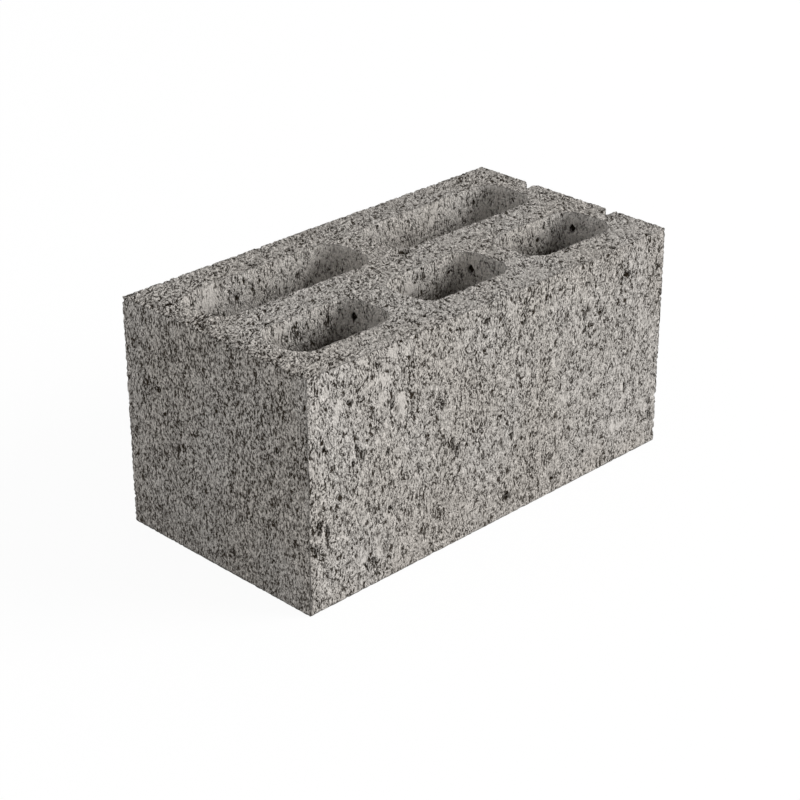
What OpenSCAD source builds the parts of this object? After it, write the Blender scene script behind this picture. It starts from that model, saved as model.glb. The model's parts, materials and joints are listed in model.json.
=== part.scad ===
// Hollow concrete wall block, cast in one piece.
// The long way is X, the thickness of the wall is Y, and the block lies on its bed face at Z = 0.
// The back row (+Y) has two long cells and the front row (-Y) three short ones.
// The left end (-X) is plain, and the right end (+X) has an upright mortar groove on each row's centre line.

/* [Block] */
// Length of the block, end to end
block_length = 390; // [300:5:500]
// Width of the block, which is the thickness of the wall it builds
block_width = 200; // [170:5:300]
// Height of the block, bed to bed
block_height = 190; // [90:5:250]

/* [Walls and webs] */
// Thickness of the two long face walls, at the top
face_wall = 30; // [20:1:45]
// Thickness of the two end walls, at the top
end_wall = 24.5; // [18:0.5:40]
// Thickness of the spine between the two rows of cells, at the top
spine = 32; // [20:1:60]
// Thickness of the one web in the back row, at the top
back_web = 25; // [15:1:60]
// Thickness of the left web in the front row, at the top
front_web_left = 31; // [15:1:60]
// Thickness of the right web in the front row, at the top
front_web_right = 25; // [15:1:60]

/* [Cells] */
// Radius of a cell's upright corners, at the top
cell_corner = 18; // [6:0.5:26]
// How far each side of a cell leans in from the top face to the bottom face
cell_draft = 1.5; // [0:0.25:4]

/* [Mortar grooves] */
// Width of each upright groove in the right end
groove_width = 9; // [5:0.5:20]
// Depth of each groove
groove_depth = 12; // [4:0.5:16]

/* [Hidden] */
$fn = 96;

// How far each cut runs past the face that it opens
overcut = 1;
// Heights between which the cores run
core_low = -overcut;
core_high = block_height + overcut;

// Room inside the walls for a row of cells, and the plan width of each row
row_length = block_length - 2 * end_wall;
cell_width = (block_width - 2 * face_wall - spine) / 2;
// Distance of each row's centre line from the middle of the spine
row_offset = (spine + cell_width) / 2;

// Webs of each row, from left to right
back_webs = [back_web];
front_webs = [front_web_left, front_web_right];

// Sum of the first n values of a list
function sum(list, n) = n == 0 ? 0 : list[n - 1] + sum(list, n - 1);

// Length of each cell of a row: what its webs leave, in equal shares
function cell_length(webs) = (row_length - sum(webs, len(webs))) / (len(webs) + 1);

// Radius of a core's corners at a height, smaller by the draft at the bottom face
function corner_at(z) = cell_corner - cell_draft * (1 - z / block_height);

// Upright wedge of the core: straight sides that lean with the draft, reach beyond a flat middle
module core_slab(flat, depth) {
    low = flat / 2 + corner_at(core_low);
    high = flat / 2 + corner_at(core_high);
    rotate([90, 0, 0])
        linear_extrude(height = depth, center = true)
            polygon([[-low, core_low], [low, core_low], [high, core_high], [-high, core_high]]);
}

// Core that leaves one cell, with the given plan size at the top face: two crossed slabs, and a cone
// in each corner that the slabs' leaning sides run into
module core(length, width) {
    flat_x = length - 2 * cell_corner;
    flat_y = width - 2 * cell_corner;
    core_slab(flat_x, flat_y);
    rotate([0, 0, 90])
        core_slab(flat_y, flat_x);
    for (x = [-flat_x / 2, flat_x / 2], y = [-flat_y / 2, flat_y / 2])
        translate([x, y, core_low])
            cylinder(h = core_high - core_low, r1 = corner_at(core_low), r2 = corner_at(core_high));
}

// Cores of one row, from left to right, with the row's webs between them
module core_row(webs) {
    length = cell_length(webs);
    for (i = [0 : len(webs)])
        translate([-row_length / 2 + (i + 0.5) * length + sum(webs, i), 0, 0])
            core(length, cell_width);
}

// Upright groove in the right end, open at the top and at the bottom
module mortar_groove() {
    translate([block_length / 2 - groove_depth, -groove_width / 2, -overcut])
        cube([groove_depth + overcut, groove_width, block_height + 2 * overcut]);
}

// The cast block: its outer box less the cores and the grooves
module block() {
    color([0.60, 0.58, 0.55])
        difference() {
            translate([-block_length / 2, -block_width / 2, 0])
                cube([block_length, block_width, block_height]);
            translate([0, row_offset, 0])
                core_row(back_webs);
            translate([0, -row_offset, 0])
                core_row(front_webs);
            for (y = [-row_offset, row_offset])
                translate([0, y, 0])
                    mortar_groove();
        }
}

block();
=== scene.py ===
import json
import math

import bpy
import numpy as np
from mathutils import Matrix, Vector, noise


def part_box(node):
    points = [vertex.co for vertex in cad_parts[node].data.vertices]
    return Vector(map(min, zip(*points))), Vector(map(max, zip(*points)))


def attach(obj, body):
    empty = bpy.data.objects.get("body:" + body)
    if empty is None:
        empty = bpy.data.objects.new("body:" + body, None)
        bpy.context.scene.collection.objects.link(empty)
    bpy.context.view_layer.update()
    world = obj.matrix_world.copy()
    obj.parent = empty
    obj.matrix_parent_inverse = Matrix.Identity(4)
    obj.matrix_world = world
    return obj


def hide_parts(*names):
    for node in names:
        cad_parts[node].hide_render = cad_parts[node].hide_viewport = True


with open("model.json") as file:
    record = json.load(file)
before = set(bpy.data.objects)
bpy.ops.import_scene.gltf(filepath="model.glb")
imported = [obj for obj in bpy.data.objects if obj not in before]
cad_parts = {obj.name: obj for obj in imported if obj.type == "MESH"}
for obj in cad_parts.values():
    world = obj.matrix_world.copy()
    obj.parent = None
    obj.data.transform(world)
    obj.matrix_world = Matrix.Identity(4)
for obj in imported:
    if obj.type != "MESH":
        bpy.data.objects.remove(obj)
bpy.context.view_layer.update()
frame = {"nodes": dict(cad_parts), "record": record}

# The block
# A hollow wall block of lean concrete: crushed stone and sand with only enough cement to coat the grains.
# Pressed in a steel mould and pushed out at once, it keeps a crust of grains with open pits in it.
# The mould's sides rub some of the paste into smooth plates, and the cores drag streaks down the cells.
MM = 0.001
VOXEL = 1.15 * MM
TRIANGLES = 196000
SHARP_EDGE = math.radians(55)

# Hollows between the lumps of the crust: how wide they are and how deep they go,
# and how their noise is built up: how its layers fade, how much finer each is, and how many there are
LUMP_SPAN = 5 * MM
LUMP_DEPTH = 1.1 * MM
LUMP_FADE = 1.0
LUMP_FINER = 2.0
LUMP_LAYERS = 3
# Open grains of the top, which no mould has closed: how wide they are, and how deep the gaps between them go
GRAIN_SPAN = 2.0 * MM
GRAIN_DEPTH = 1.3 * MM
# The grain of the top lies slantwise: the way it points, and its length over its width
GRAIN_TURN = math.radians(45)
GRAIN_LENGTH = 1.6
# Along the plain end the top has lost more of its paste: how wide a strip, and how much deeper its gaps go
BARE_STRIP = 20 * MM
BARE_DEEPER = 1.4
# Pits that lost grains leave all over: their spacing, the half width of the widest, and depth over half width
PIT_SPACING = 13 * MM
PIT_HALF_WIDTH = 2.6 * MM
PIT_STEEPNESS = 1.0
# Most of these pits are small: the power that makes them so, and the step by which each draws its own size
PIT_RARITY = 4
PIT_DRAW = 7.31
# How far the outlines of pits and plates stray, and over what width and height
PIT_STRAY = 2 * MM
PLATE_STRAY = 4 * MM
STRAY_SPANS = Vector((3, 3, 6)) * MM
# Seed of the noise that they stray by, so that they come out the same each time
STRAY_SEED = 5
# Strip along the edges and the cells' rims where grains have broken away: its width, the width and depth of
# the breaks, and how much more than half of it has broken
WORN_STRIP = 3.2 * MM
WORN_SPAN = 2.5 * MM
WORN_DEPTH = 1.8 * MM
WORN_MORE = 0.1
# The board that the fresh block stands on spares its bottom edges: up to what height,
# and what share of crust, pits and wear is left there
SPARED_HEIGHT = 7 * MM
SPARED_SHARE = 0.3
# Share of the depth of crust and scattered pits that the cores leave on the walls of the cells
CORED_SHARE = 0.4
# How far below the rim of a cell its core has rubbed the wall smooth and its painted shade has set in,
# and how dark that painted shade is in short and long cells
DRAWN_AND_SHADED_BELOW = 40 * MM
DRAWN_AND_SHADED_SHORT = 3.2
DRAWN_AND_SHADED_LONG = 0.8

# Large pits on the faces that show, as (across, up, half width, half height) in millimetres
FRONT_PITS = [
    (148, 163, 6, 2.6), (143, 160, 2.4, 3.5), (-13, 175, 2.6, 3.4), (27, 161, 3.3, 2.4), (103, 147, 3, 2.4),
    (117, 141, 2.5, 2), (98, 143, 2, 3), (105, 133, 5, 1.5), (98, 130, 1.5, 3), (101, 170, 4.2, 2.5),
    (168, 140, 2, 2), (173, 137, 2, 2.5), (192, 135, 2, 3), (13, 17, 5, 3.8), (103, 23, 3, 2.4),
    (126, 8, 2, 3), (152, 65, 1.5, 9), (180, 24, 6, 2), (186, 28, 2, 3), (173, 30, 1.5, 4),
    (-60, 122, 2.4, 4), (-49, 85, 2.2, 7), (-44, 79, 1.8, 6), (-56, 82, 2, 4), (-85, 80, 2.2, 5),
    (-15, 62, 1.8, 8), (2, 90, 3, 2), (5, 68, 2.4, 4.4), (17, 69, 2.5, 3), (41, 62, 2, 3),
    (-112, 141, 2.4, 3.5), (-107, 136, 2, 3), (-147, 117, 2, 7), (-151, 108, 2, 5), (-142, 112, 2, 4),
    (-116, 104, 2.8, 3.2), (-179, 130, 2, 3), (-185, 68, 2.6, 7), (-177, 65, 2.5, 5), (-189, 51, 3, 5),
    (-138, 19, 1.8, 4), (-131, 20, 1.6, 4), (-127, 177, 2, 2), (-155, 157, 3.3, 2.5), (-114, 58, 2.4, 2.4),
    (66, 13, 2, 2),
]
LEFT_PITS = [
    (12, 175, 1.8, 3.5), (45, 160, 1.5, 7), (-57, 154, 1.8, 3), (-29, 162, 1.5, 3), (62, 127, 3, 2.5),
    (-3, 132, 1.8, 3), (-21, 129, 1.8, 1.8), (43, 84, 3, 5), (36, 88, 1.5, 4), (50, 83, 2, 3),
    (13, 60, 1.6, 8), (-16, 19, 2.5, 3), (-43, 63, 1.5, 3), (-17, 71, 2, 2), (57, 69, 2, 2),
    (25, 80, 1.5, 4), (-68, 123, 3, 3), (78, 132, 2, 3), (-98, 145, 2, 3), (-98, 128, 2, 3),
    (-97, 167, 2, 3), (-85, 55, 2, 3), (-60, 30, 2, 2), (55, 108, 2, 2),
]
TOP_PITS = [
    (12, 13, 6, 5), (134, -95, 2.5, 3), (-180, 64, 4, 3), (-181, -58, 3.5, 3), (-153, -12, 2.5, 2),
    (-88, 78, 2, 2.5), (-103, -81, 2, 4), (184, 22, 2, 3), (145, 2, 2, 2), (-120, 82, 1.6, 1.6),
    (-46, 80, 2.6, 4.2), (-75, -82, 2, 4), (-62, -84, 2, 3), (120, 86, 2, 3), (-187, 18, 2, 3),
    (160, 8, 2, 2),
]
# Plates of paste that the mould has rubbed smooth, in the same terms
FRONT_PLATES = [
    (-180, 172, 4, 8), (-166, 158, 6, 6), (-170, 183, 6, 5), (-167, 147, 3, 7), (-112, 183, 8, 5),
    (-98, 180, 6, 7), (-130, 166, 5, 4), (-118, 163, 6, 4), (-120, 151, 6, 5), (-102, 140, 7, 10),
    (-138, 180, 3, 8), (-182, 58, 3, 9), (-113, 90, 3, 8), (-106, 90, 2, 6), (-149, 182, 3, 6),
    (-160, 135, 4, 6),
]
# Plates and pits on the back wall of each short cell, from the cell's left end
CELL_PLATES = [(34, 178, 13, 14), (20, 168, 8, 20)]
CELL_PITS = [(55, 177, 1.2, 3), (61, 171, 1.2, 3), (69, 181, 1.0, 3), (77, 175, 1.2, 4), (48, 158, 1.2, 2)]
# The deep hole in each short cell, where its right end meets its back wall, in millimetres: how far in from
# that end, how far before the middle of the block and how high it lies, and its half sizes
CELL_HOLE = (2, 25, 175)
CELL_HOLE_HALVES = (4.2, 3.6, 5.5)
CELL_HOLE_DEPTH = 5 * MM
# How far the record's room for each cell stays from the cell's ends
CELL_CLEARANCE = 4 * MM
# How quickly pits, plates and holes come to their full effect, going in from the rim
PIT_RIM = 3
PLATE_RIM = 2.5
HOLE_RIM = 2
HOLE_STEEPNESS = 4
# Share of the crust's hollows that is filled under a plate
PLATE_FILL = 0.85

low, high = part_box("block")
middle = (low + high) / 2
half = (high - low) / 2
# The cells lie well inside the walls: whatever upright face is this far in belongs to one of them
CELL_INSET = 20 * MM
# The back walls of the short cells lie behind this line
SHORT_CELL_BACK = -30 * MM
# A face points along an axis where this much of its normal does
FACING = 0.7


def settle(piece):
    """Makes a piece's modifiers part of its mesh."""
    graph = bpy.context.evaluated_depsgraph_get()
    mesh = bpy.data.meshes.new_from_object(piece.evaluated_get(graph))
    piece.modifiers.clear()
    piece.data = mesh


def read_vectors(mesh, name):
    """One value of each vertex as rows of x, y and z."""
    values = np.empty(3 * len(mesh.vertices), np.float32)
    mesh.vertices.foreach_get(name, values)
    return values.reshape(-1, 3)


def marked(across, up, marks):
    """How near each place is to the middle of a mark, from 0 at its rim to 1, and the mark's smaller half."""
    near = np.zeros(len(across))
    size = np.zeros(len(across))
    for mark_across, mark_up, half_width, half_height in marks:
        reach = np.hypot((across / MM - mark_across) / half_width, (up / MM - mark_up) / half_height)
        nearer = 1 - reach > near
        near[nearer] = 1 - reach[nearer]
        size[nearer] = min(half_width, half_height) * MM
    return near, size


def bowl(near, size):
    """Depth of a pit, steep at its rim and round at its bottom."""
    return PIT_STEEPNESS * size * np.sqrt(np.clip(near * (2 - near), 0, 1))


def scattered_pit(place):
    """Depth of the scattered pits at one place."""
    distances, centres = noise.voronoi(place / PIT_SPACING)
    share = abs(noise.cell(centres[0] * PIT_DRAW))
    size = PIT_HALF_WIDTH * share ** PIT_RARITY
    near = max(0, 1 - distances[0] * PIT_SPACING / size) if size > 0 else 0
    return PIT_STEEPNESS * size * math.sqrt(near * (2 - near))


def lump_hollow(place):
    """Depth of the crust's hollows at one place, as a share of their usual depth."""
    return max(0, noise.fractal(place / LUMP_SPAN, LUMP_FADE, LUMP_FINER, LUMP_LAYERS))


cast = bpy.data.objects.new("cast_block", frame["nodes"]["block"].data.copy())
bpy.context.scene.collection.objects.link(cast)
remesh = cast.modifiers.new("grain", "REMESH")
remesh.mode = "VOXEL"
remesh.voxel_size = VOXEL
settle(cast)

mesh = cast.data
places = read_vectors(mesh, "co")
normals = read_vectors(mesh, "normal")
spots = [Vector(p) for p in places]
inset = np.array(half) - np.abs(places - np.array(middle))
cored = (inset[:, :2].min(axis=1) > CELL_INSET) & (np.abs(normals[:, 2]) < FACING)
top = (high.z - places[:, 2] < VOXEL / 2) & ~cored

# The crust and its scattered pits, flatter in the cells and near the bottom
crust = LUMP_DEPTH * np.array([lump_hollow(p) for p in spots])
pits = np.array([scattered_pit(p) for p in spots])
crust[cored] *= CORED_SHARE
pits[cored] *= CORED_SHARE
spared = np.clip((places[:, 2] - low.z) / SPARED_HEIGHT, SPARED_SHARE, 1)
crust *= spared
pits *= spared

# The gaps between the open grains of the top. Squared, the way to the middle of a grain gives it a round top.
gaps = np.zeros(len(places))
grain_length = np.array((math.cos(GRAIN_TURN), math.sin(GRAIN_TURN), 0))
grains = places - (1 - 1 / GRAIN_LENGTH) * (places @ grain_length)[:, None] * grain_length
gaps[top] = [noise.voronoi(Vector(p) / GRAIN_SPAN)[0][0] ** 2 for p in grains[top]]
gaps *= 1 + BARE_DEEPER * np.clip((low.x + BARE_STRIP - places[:, 0]) / BARE_STRIP, 0, 1)

# The wear. An edge is where two faces meet, so the second smallest inset is the way to it.
from_edge = np.sort(inset, axis=1)[:, 1]
wear = np.clip(1 - from_edge / WORN_STRIP, 0, 1) * ~cored
wear *= spared
wear[cored] = np.clip(1 - (high.z - places[cored, 2]) / WORN_STRIP, 0, 1)
for i in np.flatnonzero(wear):
    wear[i] *= max(0, WORN_MORE + noise.noise(spots[i] / WORN_SPAN))

# The large pits, the plates and the deep holes
closeness = Vector(1 / span for span in STRAY_SPANS)
noise.seed_set(STRAY_SEED)
stray = np.array([noise.noise_vector(p * closeness) for p in spots])
pit_places = places + PIT_STRAY * stray
plate_places = places + PLATE_STRAY * stray
pressed = np.zeros(len(places))
lost = np.zeros(len(places))
ALONG_X, ALONG_Y, ALONG_Z = range(3)
front = (inset[:, 1] < VOXEL) & (places[:, 1] < middle.y)
left = (inset[:, 0] < VOXEL) & (places[:, 0] < middle.x)
faces = [
    (front, ALONG_X, ALONG_Z, 0, FRONT_PITS, FRONT_PLATES),
    (left, ALONG_Y, ALONG_Z, 0, LEFT_PITS, []),
    (top, ALONG_X, ALONG_Y, 0, TOP_PITS, []),
]
for opening in frame["record"]["physics"]["openings"]:
    if opening["name"].startswith("front") and opening["name"].endswith("cell_ends"):
        start = opening["box_m"][0][0] - CELL_CLEARANCE
        end = opening["box_m"][1][0] + CELL_CLEARANCE
        wall = cored & (places[:, 0] > start) & (places[:, 0] < end) & (places[:, 1] > SHORT_CELL_BACK)
        faces.append((wall & (normals[:, 1] < -FACING), ALONG_X, ALONG_Z, start, CELL_PITS, CELL_PLATES))
        centre = np.array((end - CELL_HOLE[0] * MM, -CELL_HOLE[1] * MM, CELL_HOLE[2] * MM))
        reach = np.abs((places - centre) / (np.array(CELL_HOLE_HALVES) * MM)).sum(axis=1)
        pits = np.maximum(pits, CELL_HOLE_DEPTH * np.clip(HOLE_STEEPNESS * (1 - reach), 0, 1))
        lost = np.maximum(lost, np.clip(HOLE_RIM * (1 - reach), 0, 1))
for face, across, up, origin, face_pits, face_plates in faces:
    near, size = marked(pit_places[face, across] - origin, pit_places[face, up], face_pits)
    pits[face] = np.maximum(pits[face], bowl(near, size))
    lost[face] = np.maximum(lost[face], np.clip(PIT_RIM * near, 0, 1))
    near, size = marked(plate_places[face, across] - origin, plate_places[face, up], face_plates)
    pressed[face] = np.clip(PLATE_RIM * near, 0, 1)

depth = crust * (1 - PLATE_FILL * pressed) + pits + GRAIN_DEPTH * gaps + WORN_DEPTH * wear
mesh.vertices.foreach_set("co", (places - normals * depth[:, None]).astype(np.float32).ravel())

# What the colour needs to know of each place. Drawn, which also carries the cells' painted shade, and bare
# are squared, so that they set in gently.
drawn = np.clip(inset[:, 2] / DRAWN_AND_SHADED_BELOW, 0, 1) ** 2 * cored
drawn *= np.where(places[:, 1] < middle.y, DRAWN_AND_SHADED_SHORT, DRAWN_AND_SHADED_LONG)
# Walls of the cells that face the plain end, away from the lamp: rubbed smoother, with less painted shade and
# some painted light
rubbed = np.clip(-normals[:, 0], 0, 1) * cored
gaps[top] -= gaps[top].mean()
layers = {
    "cored": cored,
    "end": (inset[:, 0] < VOXEL) & ~top,
    "bed": np.abs(normals[:, 2]) > FACING,
    "bare": np.clip((middle.x - places[:, 0]) / half.x, 0, 1) ** 2,
    "drawn": drawn,
    "rubbed": rubbed,
    "crust": crust / MM,
    "gaps": gaps,
    "hollow": pits / MM,
    "pressed": pressed,
    "lost": lost,
}
for name, values in layers.items():
    mesh.attributes.new(name, "FLOAT", "POINT").data.foreach_set("value", values.astype(np.float32))

# The mesh is thinned where it is plain, and kept as it is in the open grain of the top and in the large pits
cast.vertex_groups.new(name="open_grain").add(np.flatnonzero(top | (lost > 0)).tolist(), 1, "REPLACE")
thin = cast.modifiers.new("thin", "DECIMATE")
thin.vertex_group = "open_grain"
thin.invert_vertex_group = True
thin.ratio = TRIANGLES / (2 * len(mesh.polygons))
settle(cast)
cast.vertex_groups.clear()
cast.data.polygons.foreach_set("use_smooth", np.ones(len(cast.data.polygons), bool))
cast.data.set_sharp_from_angle(angle=SHARP_EDGE)


class Wire:
    """A socket that gives a value. Arithmetic on it adds Math nodes, and node() adds any other."""

    def __init__(self, tree, socket=None):
        self.tree = tree
        self.socket = socket

    def node(self, kind, settings, sockets, output=0):
        """Adds a node with its settings, a ramp's stops among them, and its sockets' values or links."""
        made = self.tree.nodes.new(kind)
        for name, value in settings.items():
            if name != "stops":
                setattr(made, name, value)
                continue
            elements = made.color_ramp.elements
            while len(elements) < len(value):
                elements.new(1)
            for element, (position, level) in zip(elements, value):
                element.position = position
                element.color = (level, level, level, 1)
        for key, value in sockets.items():
            if isinstance(value, Wire):
                self.tree.links.new(value.socket, made.inputs[key])
            else:
                made.inputs[key].default_value = value
        return Wire(self.tree, made.outputs[output] if made.outputs else None)

    def maths(self, operation, other, clamp=False):
        return self.node("ShaderNodeMath", {"operation": operation, "use_clamp": clamp}, {0: self, 1: other})

    def __add__(self, other):
        return self.maths("ADD", other)

    def __sub__(self, other):
        return self.maths("SUBTRACT", other)

    def __rsub__(self, other):
        return self.node("ShaderNodeMath", {"operation": "SUBTRACT"}, {0: other, 1: self})

    def __mul__(self, other):
        return self.maths("MULTIPLY", other)

    def __truediv__(self, other):
        return self.maths("DIVIDE", other)

    __radd__ = __add__
    __rmul__ = __mul__

    def clamped(self):
        return self.maths("ADD", 0, clamp=True)


concrete = bpy.data.materials.new("pressed_concrete")
concrete.use_nodes = True
concrete.node_tree.nodes.clear()
wire = Wire(concrete.node_tree)

place = wire.node("ShaderNodeTexCoord", {}, {}, "Object")
# From the front, -1, to the back, 1, and from the bottom, -0.5, to the top, 0.5
backward = wire.node("ShaderNodeSeparateXYZ", {}, {"Vector": place}, "Y") / half.y
raised = wire.node("ShaderNodeSeparateXYZ", {}, {"Vector": place}, "Z") / (high.z - low.z) - 0.5
cored, end, bed, bare, drawn, rubbed, crust, gaps, hollow, pressed, lost = (
    wire.node("ShaderNodeAttribute", {"attribute_name": name}, {}, "Fac") for name in layers)

slant = {"Vector": place, "Rotation": (0, 0, GRAIN_TURN), "Scale": (GRAIN_LENGTH, 1, 1)}
place = wire.node("ShaderNodeMapping", {"vector_type": "TEXTURE"}, slant)
# How close the fine grain is across the faces: closer on the ends, and coarser on the top
CLOSE = 1.04
END_CLOSER = 0.06
TOP_COARSER = 0.26
close = CLOSE + END_CLOSER * end - TOP_COARSER * bed
# How close it is upwards: the mould draws it out, more so on the ends and by the plain end, and the cores too
UPWARD = 0.68
END_LONGER = 0.06
BARE_LONGER = 0.09
CELL_LONGER = 0.06
upward = UPWARD - END_LONGER * end - BARE_LONGER * bare - CELL_LONGER * cored
stretch = wire.node("ShaderNodeCombineXYZ", {}, {0: close, 1: close, 2: upward})
place = wire.node("ShaderNodeVectorMath", {"operation": "MULTIPLY"}, {0: place, 1: stretch})
# The slits between the grains run upwards too, longer than the grains and less straight
SLIT_BEND = 6 * MM
SLIT_BEND_SPAN = 6 * MM
SLIT_UPWARD = 0.48
bending = {"Vector": place, "Scale": 1 / SLIT_BEND_SPAN, "Detail": 0}
bend = wire.node("ShaderNodeTexNoise", {}, bending, "Color")
bend = wire.node("ShaderNodeVectorMath", {"operation": "MULTIPLY"}, {0: bend, 1: (SLIT_BEND,) * 3})
bent = wire.node("ShaderNodeVectorMath", {"operation": "ADD"}, {0: place, 1: bend})
slit_place = wire.node("ShaderNodeVectorMath", {"operation": "MULTIPLY"}, {0: bent, 1: (1, 1, SLIT_UPWARD)})
# Each slit has a painted highlight, a lit lip, this far below it, or before it on the top
LIP = 0.9 * MM
TOP_LIP_X = 0.44 * LIP
TOP_LIP_Y = 0.71 * LIP
FACE_LIP_Z = LIP * UPWARD * SLIT_UPWARD
lip = wire.node("ShaderNodeCombineXYZ", {}, {
    0: TOP_LIP_X * bed, 1: TOP_LIP_Y * bed, 2: FACE_LIP_Z * (1 - bed)})
lip_place = wire.node("ShaderNodeVectorMath", {"operation": "ADD"}, {0: slit_place, 1: lip})

# Spread of the noise of one layer about its middle
NOISE_SPREAD = 0.14


def clouds(place, span, curl=0, detail=1, rough=0.5):
    """Noise about nought, mostly between -1 and 1, with features about as wide as span that may curl."""
    sockets = {"Vector": place, "Scale": 1 / span, "Detail": detail, "Roughness": rough, "Distortion": curl}
    shares = [rough ** i for i in range(detail + 1)]
    spread = NOISE_SPREAD * math.hypot(*shares) / sum(shares)
    return (wire.node("ShaderNodeTexNoise", {}, sockets, "Fac") - 0.5) / spread


# The noises that the grain is made of: how wide the features of each are, and how the finest curl
FINE_SPAN = 1.2 * MM
FINE_CURL = 0.8
SLIT_SPAN = 1.5 * MM
SLIT_CURL = 0.4
COARSE_SPAN = 3.2 * MM
RUB_SPAN = 9 * MM
DRIFT_SPAN = 60 * MM
grains = clouds(place, FINE_SPAN, FINE_CURL)
slits = clouds(slit_place, SLIT_SPAN, SLIT_CURL)
lit_lips = slits - clouds(lip_place, SLIT_SPAN, SLIT_CURL)
lumps = clouds(place, COARSE_SPAN)
rubs = clouds(place, RUB_SPAN, detail=2, rough=0.55)
drifts = clouds(place, DRIFT_SPAN)
# Most grains are much alike, less so on the ends, and a few stand out
ALIKE = 0.74
END_ALIKE = 0.35
STANDING_OUT = 0.12
grains = grains * (ALIKE + END_ALIKE * end + STANDING_OUT * grains * grains)

# Plates form where the rubbing, the lumps and the slits agree, and wherever the lists above put them.
# They are rarer on the ends, the beds and the cells' walls.
PLATE_PUT = 5
PLATE_RARER = 1.5
PLATE_FROM = 2.4
closed = PLATE_PUT * pressed - PLATE_RARER * (end + bed + cored)
plates = (1.2 * rubs + 0.6 * lumps + 0.5 * slits + 0.4 * drifts + closed - PLATE_FROM).clamped()
# Deep cuts form along the slits, most of all in the pits, and less on the ends. They are only in the colour,
# as dark lines of painted shade.
CUT_FROM = 0.7
CUT_IN_PITS = 1.3
END_FEWER_CUTS = 0.6
torn = (0.7 * hollow).clamped()
shaded_cuts = (CUT_IN_PITS * torn - CUT_FROM - slits - 0.45 * lumps - 0.35 * rubs).clamped()
shaded_cuts = shaded_cuts * (1 - END_FEWER_CUTS * end)
# Clots of grain make the tone come and go over wider spans, less so on the beds
TOP_LESS_CLOTTED = 0.5
clots = (0.2 * lumps + 0.15 * rubs + 0.08 * drifts) * (1 - TOP_LESS_CLOTTED * bed)

# The tone of the rough grain, in steps of which 0 is the middle grey
GRAIN_TONE = 0.98
SLIT_TONE = 0.45
LIT_LIP_TONE = 0.35
BARE_LIT_LIP_TONE = 0.4
CUT_SHADE = 1.25
GAP_SHADE = 1.8
ROUGH_TONE = 0.45
# The lit lips are painted highlight: light just below each dark slit, as if a ledge there caught the lamp; on
# the top only by the plain end
lit_lip_tone = LIT_LIP_TONE - LIT_LIP_TONE * bed + BARE_LIT_LIP_TONE * bed * bare
rough = GRAIN_TONE * grains + SLIT_TONE * slits + lit_lip_tone * lit_lips + clots
# The cuts and the gaps between the top's grains are painted dark: painted shade in the crevices
rough = rough - CUT_SHADE * shaded_cuts + ROUGH_TONE - GAP_SHADE * gaps

# How much of it shows: less on plates, on the top and in the cells, mostly in the back ones and where a core
# has drawn or rubbed the wall, and more on the ends, by the plain end and high up on the faces
PLATE_SMOOTHER = 0.62
END_ROUGHER = 0.16
TOP_SMOOTHER = 0.03
DRAWN_SMOOTHER = 0.25
CELL_SMOOTHER = 0.1
BACK_CELL_SMOOTHER = 0.15
RUBBED_SMOOTHER = 0.2
RUBS_SMOOTHER = 0.2
COMMON_ROUGHNESS = 0.99
BARE_ROUGHER = 0.28
BARE_TOP_ROUGHER = 0.02
RAISED_ROUGHER = 0.28
shown = (1 - PLATE_SMOOTHER * plates) * (1 + END_ROUGHER * end - TOP_SMOOTHER * bed)
shown = shown * (1 - DRAWN_SMOOTHER * drawn) * (1 - RUBS_SMOOTHER * rubs)
shown = shown * (1 - (CELL_SMOOTHER + BACK_CELL_SMOOTHER * backward) * cored - RUBBED_SMOOTHER * rubbed)
shown = shown * (COMMON_ROUGHNESS + (BARE_ROUGHER + BARE_TOP_ROUGHER * bed) * bare)
shown = shown * (1 + RAISED_ROUGHER * (1 - bed) * raised)

# Plates and cells' walls are lighter. The ends, which face away from the lamp, get painted shade, and so do
# the cells' walls, deepening going down
PLATE_LIGHTER = 0.92
CELL_PLATE_LESS = 0.27
CELL_LIGHTER = 0.94
BACK_CELL_LESS = 0.21
END_DARKER = 0.47
RUBBED_LESS_SHADE = 0.5
tone = rough * shown + (PLATE_LIGHTER - CELL_PLATE_LESS * cored) * plates
tone = tone + (CELL_LIGHTER - BACK_CELL_LESS * backward) * cored - END_DARKER * end
# Painted shade in the cells, deepening going down from the rim and darker in the short cells, less on the
# walls that face the plain end
tone = tone - (1 - RUBBED_LESS_SHADE * rubbed) * drawn
# The top gets painted shade, darker than the faces and most of all at the back, away from the lamp, and the
# faces are darker going up
TOP_DARKER = 0.12
TOP_BACK_DARKER = 0.14
RAISED_DARKER = 0.1
tone = tone - TOP_DARKER * bed - TOP_BACK_DARKER * bed * backward - RAISED_DARKER * raised * (1 - bed)
# Pits and hollows get painted shade, darker the deeper they go and the deepest most of all. The cells' walls
# that face the plain end get painted light, and the plain end's side is lighter
HOLLOW_DARKER = 0.3
CRUST_DARKER = 0.2
DEEP_DARKER = 1.5
DEEP_FROM = 3.5
RUBBED_PAINTED_LIGHT = 0.3
BARE_LIGHTER = 0.1
BARE_TOP_LIGHTER = 0.1
ALL_DARKER = 0.04
tone = tone - HOLLOW_DARKER * hollow - CRUST_DARKER * crust - DEEP_DARKER * (hollow - DEEP_FROM).clamped()
tone = tone + RUBBED_PAINTED_LIGHT * rubbed + (BARE_LIGHTER + BARE_TOP_LIGHTER * bed) * bare - ALL_DARKER
# The large pits get painted shade all over, more on the ends, broken up by the slits
PIT_DARKER = 1.75
END_PIT_DARKER = 1.3
tone = tone - (PIT_DARKER + END_PIT_DARKER * end) * lost * (0.8 - 0.35 * slits).clamped()
# On the ends the lightest and the darkest grains are both a little lighter
END_LIFTED = 0.06
tone = tone + END_LIFTED * end * tone * tone

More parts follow.
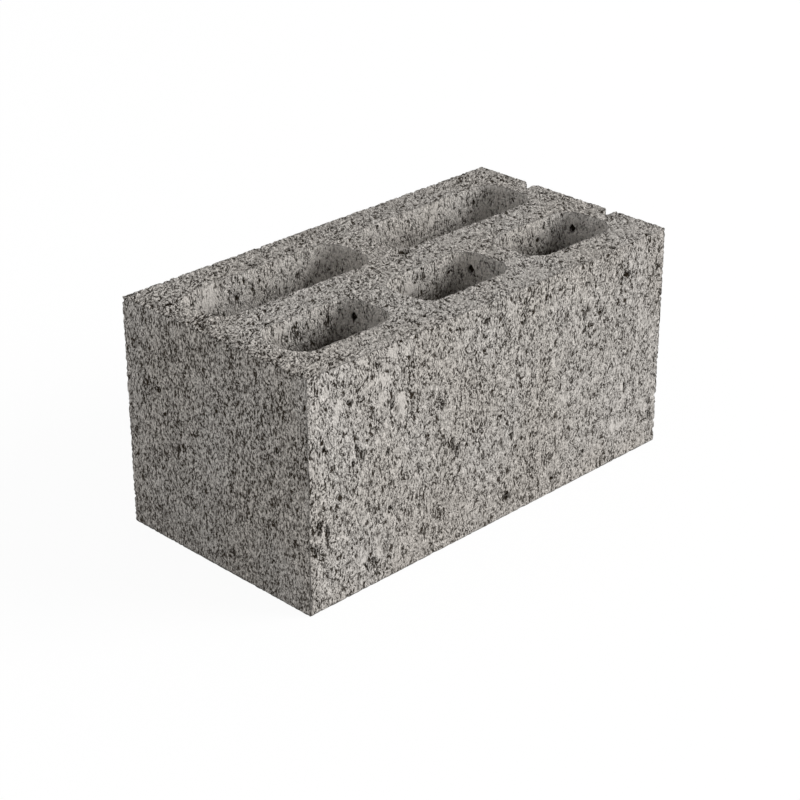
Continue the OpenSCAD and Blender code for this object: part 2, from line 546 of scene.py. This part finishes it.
# How much light each tone sends back
TONES = [(-4, 0), (-3, 0.004), (-2, 0.031), (-1, 0.131), (0, 0.342), (1, 0.545), (2, 0.715), (3, 0.815)]
darkest = TONES[0][0]
tone_range = TONES[-1][0] - darkest
stops = [((tone_at - darkest) / tone_range, level) for tone_at, level in TONES]
level = wire.node("ShaderNodeValToRGB", {"stops": stops}, {"Fac": (tone - darkest) / tone_range})
WARM = (1.056, 1.0, 0.935, 1)
COOL = (1.044, 1.0, 0.95, 1)
drifted = (0.5 + 0.5 * drifts).clamped()
tint = wire.node("ShaderNodeMix", {"data_type": "RGBA"}, {0: drifted, 6: WARM, 7: COOL}, 2)
tinting = {"data_type": "RGBA", "blend_type": "MULTIPLY"}
colour = wire.node("ShaderNodeMix", tinting, {0: 1, 6: level, 7: tint}, 2)
# Fine brown dust lies all over it and shows most in the dark gaps
DUST = (0.0165, 0.0085, 0, 1)
dusting = {"data_type": "RGBA", "blend_type": "ADD"}
colour = wire.node("ShaderNodeMix", dusting, {0: 1, 6: colour, 7: DUST}, 2)
# Light grains stand this much higher for each step of tone, and less so on the ends
BUMP = 0.25 * MM
END_FLATTER = 0.5
height = tone * BUMP * (1 - END_FLATTER * end)
bump = wire.node("ShaderNodeBump", {}, {"Strength": 1, "Distance": 1, "Height": height})
ROUGH = 0.9
DULL = 0.3
skin = wire.node("ShaderNodeBsdfPrincipled", {}, {
    "Base Color": colour, "Roughness": ROUGH, "Specular IOR Level": DULL, "Normal": bump})
wire.node("ShaderNodeOutputMaterial", {}, {"Surface": skin})
cast.data.materials.clear()
cast.data.materials.append(concrete)
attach(cast, "root")
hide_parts("block")

# The floor
# A wide sheet of white studio board under the block. Seen straight on it is nearly plain white,
# and its matt share keeps the block's shadow.
FLOOR = 6.0
bpy.ops.mesh.primitive_plane_add(size=FLOOR, location=(0, 0, low.z))
floor = bpy.context.object
floor.name = "floor"
board = bpy.data.materials.new("studio_board")
board.use_nodes = True
board.node_tree.nodes.clear()


def seen_rays(wire):
    """1 for rays that show a thing, straight or in gloss or glass, and 0 for rays that only light by it."""
    path = wire.node("ShaderNodeLightPath", {}, {}).socket.node
    kinds = ("Is Camera Ray", "Is Glossy Ray", "Is Transmission Ray")
    straight, gloss, glass = (Wire(wire.tree, path.outputs[kind]) for kind in kinds)
    return (straight + gloss + glass).clamped()


WHITE = (1, 1, 1, 1)
PALE = (0.85, 0.85, 0.85, 1)
GLOW = 1.04
GLOW_SHARE = 0.9
wire = Wire(board.node_tree)
matt = wire.node("ShaderNodeBsdfDiffuse", {}, {"Color": PALE})
glow = wire.node("ShaderNodeEmission", {}, {"Color": WHITE, "Strength": GLOW})
mixed = wire.node("ShaderNodeMixShader", {}, {0: seen_rays(wire) * GLOW_SHARE, 1: matt, 2: glow})
wire.node("ShaderNodeOutputMaterial", {}, {"Surface": mixed})
floor.data.materials.append(board)

# The light
# A plain white studio gives soft light from all round.
# One large round lamp stands before the block, to the right and a little above it.
AMBIENT = 0.495
world = bpy.data.worlds.new("studio")
bpy.context.scene.world = world
world.use_nodes = True
world.node_tree.nodes.clear()
wire = Wire(world.node_tree)
air = wire.node("ShaderNodeBackground", {}, {"Color": WHITE, "Strength": AMBIENT})
white = wire.node("ShaderNodeBackground", {}, {"Color": WHITE, "Strength": 1})
mixed = wire.node("ShaderNodeMixShader", {}, {0: seen_rays(wire), 1: air, 2: white})
wire.node("ShaderNodeOutputWorld", {}, {"Surface": mixed})

LAMP_FROM = Vector((0.63, -0.65, 0.42)).normalized()
LAMP_AWAY = 8.0
LAMP_WIDTH = 5.6
# Light that a white card facing the lamp sends back, where 1 is white
LAMP_LEVEL = 0.645
lamp_light = bpy.data.lights.new("lamp", "AREA")
lamp_light.shape = "DISK"
lamp_light.size = LAMP_WIDTH
lamp_light.energy = LAMP_LEVEL * math.pi ** 2 * (LAMP_AWAY ** 2 + LAMP_WIDTH ** 2 / 4)
lamp = bpy.data.objects.new("lamp", lamp_light)
bpy.context.scene.collection.objects.link(lamp)
lamp.location = middle + LAMP_FROM * LAMP_AWAY
lamp.rotation_euler = LAMP_FROM.to_track_quat("Z", "Y").to_euler()

# The camera
# A still camera with a long lens, on a stand well above the block.
# It looks down on the plain end and the front face, from far enough off to flatten the block a little.
TURN = math.radians(-45.085)
RISE = math.radians(26.421)
AWAY = 1.7077
AIM = Vector((0.0097, 0.0137, 0.0625))
FOCAL_PIXELS = 2138.6
FRAME_PIXELS = 800
SENSOR = 36
SEES_TO = 50
back = Vector((math.sin(TURN) * math.cos(RISE), -math.cos(TURN) * math.cos(RISE), math.sin(RISE)))
lens = bpy.data.cameras.new("camera")
lens.sensor_width = SENSOR
lens.lens = FOCAL_PIXELS / FRAME_PIXELS * SENSOR
lens.clip_end = SEES_TO
camera = bpy.data.objects.new("camera", lens)
bpy.context.scene.collection.objects.link(camera)
camera.location = AIM + back * AWAY
camera.rotation_euler = back.to_track_quat("Z", "Y").to_euler()
bpy.context.scene.camera = camera
bpy.context.scene.view_settings.view_transform = "Standard"
